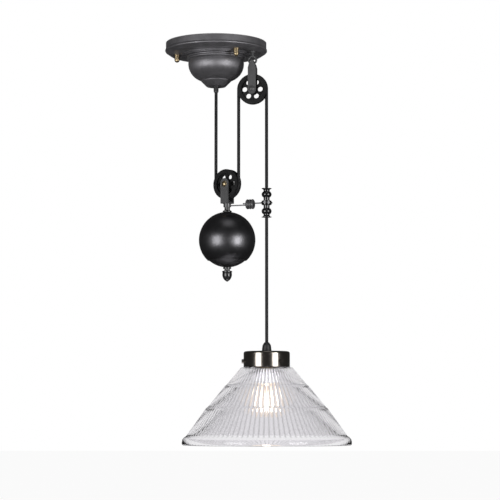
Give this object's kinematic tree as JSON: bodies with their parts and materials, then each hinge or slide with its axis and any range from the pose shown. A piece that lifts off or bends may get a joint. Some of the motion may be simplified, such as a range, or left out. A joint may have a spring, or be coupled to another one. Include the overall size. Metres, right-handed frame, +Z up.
{
  "type": "rise and fall pendant",
  "caption": "Ceiling pendant that rises and falls on one cord reeved round two wheels, with a ball counterweight, a distance arm and a ribbed cone shade.",
  "frame": {"origin": "middle of the ceiling bracket's top face, which lies against the ceiling", "axes": "+Z up, away from the lamp; +X towards the side where the lamp hangs; -Y towards the viewer"},
  "size_m": [0.2651, 0.2394, 0.573],
  "materials": {
    "canopy_black": "satin charcoal lacquer",
    "block_black": "satin black lacquer",
    "wheel_black": "satin black lacquer",
    "guide_black": "gloss black lacquer",
    "ball_black": "satin charcoal lacquer",
    "brass": "polished",
    "bush_brass": "plain",
    "zinc_steel": "zinc plated",
    "arm_steel": "blackened wire",
    "cast_slug": "as cast",
    "gunmetal": "black nickel plate",
    "holder_metal": "nickel plate",
    "holder_ceramic": "unglazed",
    "cap_metal": "bright",
    "terminal_plastic": "moulded",
    "grip_plastic": "moulded",
    "cord": "smooth round sheath",
    "bulb_glass": "clear, lit",
    "shade_glass": "pressed ribbed glass"
  },
  "bodies": {
    "root": {"ceiling_bracket": "zinc_steel", "bracket_studs": "zinc_steel", "canopy_shell": "canopy_black", "canopy_nuts": "brass", "terminal_block": "terminal_plastic", "terminal_screws": "zinc_steel", "canopy_cord_grip": "grip_plastic", "canopy_grip_nut": "grip_plastic", "eye_bolt": "block_black", "eye_bolt_nut": "zinc_steel", "top_block_strap": "block_black", "top_axle": "block_black", "top_axle_nut": "block_black", "cord_tail": "cord", "cord_left_strand": "cord", "cord_middle_strand": "cord", "cord_over_wheel": "cord", "cord_lamp_strand": "cord"},
    "top_wheel": {"top_wheel": "wheel_black", "top_wheel_bush": "bush_brass"},
    "carriage": {"lower_block_strap": "block_black", "lower_axle": "brass", "lower_axle_nut": "brass", "arm_collar": "block_black", "arm_rod_inner": "arm_steel", "arm_rod_outer": "arm_steel", "arm_clamp": "block_black", "guide_upper": "guide_black", "guide_lower": "guide_black", "cord_under_wheel": "cord"},
    "lower_wheel": {"lower_wheel": "wheel_black", "lower_wheel_bush": "bush_brass"},
    "counterweight": {"weight_stem": "block_black", "weight_stem_nut": "zinc_steel", "weight_shell": "ball_black", "weight_cap": "ball_black", "weight_ballast": "cast_slug", "weight_tie_rod": "zinc_steel", "acorn_finial": "block_black"},
    "lamp": {"lamp_cord_grip": "grip_plastic", "gallery_cap": "gunmetal", "gallery_screws": "gunmetal", "lamp_nipple": "zinc_steel", "lamp_nipple_nut": "zinc_steel", "holder_cap": "holder_metal", "holder_barrel": "holder_metal", "shade_ring": "brass", "holder_core": "holder_ceramic", "holder_plungers": "bush_brass", "bulb_cap": "cap_metal", "bulb_glass": "bulb_glass", "shade_glass": "shade_glass", "cord_lamp_tail": "cord"}
  },
  "joints": [
    {"name": "counterweight_travel", "type": "slide", "parent": "root", "child": "carriage", "axis": [0, 0, 1], "range_m": [-0.04, 0.095], "deforming": ["cord_left_strand", "cord_middle_strand"]},
    {"name": "lamp_travel", "type": "slide", "parent": "root", "child": "lamp", "axis": [0, 0, 1], "range_m": [-0.19, 0.08], "deforming": ["cord_lamp_strand"]},
    {"name": "top_wheel_spin", "type": "hinge", "parent": "root", "child": "top_wheel", "pos_m": [0.05252, -0.02607, -0.0714], "axis": [0.1564, 0.9877, 0], "range_deg": [-231, 546]},
    {"name": "lower_wheel_spin", "type": "hinge", "parent": "carriage", "child": "lower_wheel", "pos_m": [0.01638, -0.01147, -0.205], "axis": [0.5736, 0.8192, 0], "range_deg": [-274, 116]},
    {"name": "counterweight_swivel", "type": "hinge", "parent": "carriage", "child": "counterweight", "pos_m": [0.01638, -0.01147, -0.2845], "axis": [0, 0, 1], "continuous": true}
  ],
  "couplings": [
    {"joint": "lamp_travel", "follows": "counterweight_travel", "ratio": -2},
    {"joint": "top_wheel_spin", "follows": "counterweight_travel", "rad_per_m": 100},
    {"joint": "lower_wheel_spin", "follows": "counterweight_travel", "rad_per_m": -50}
  ]
}
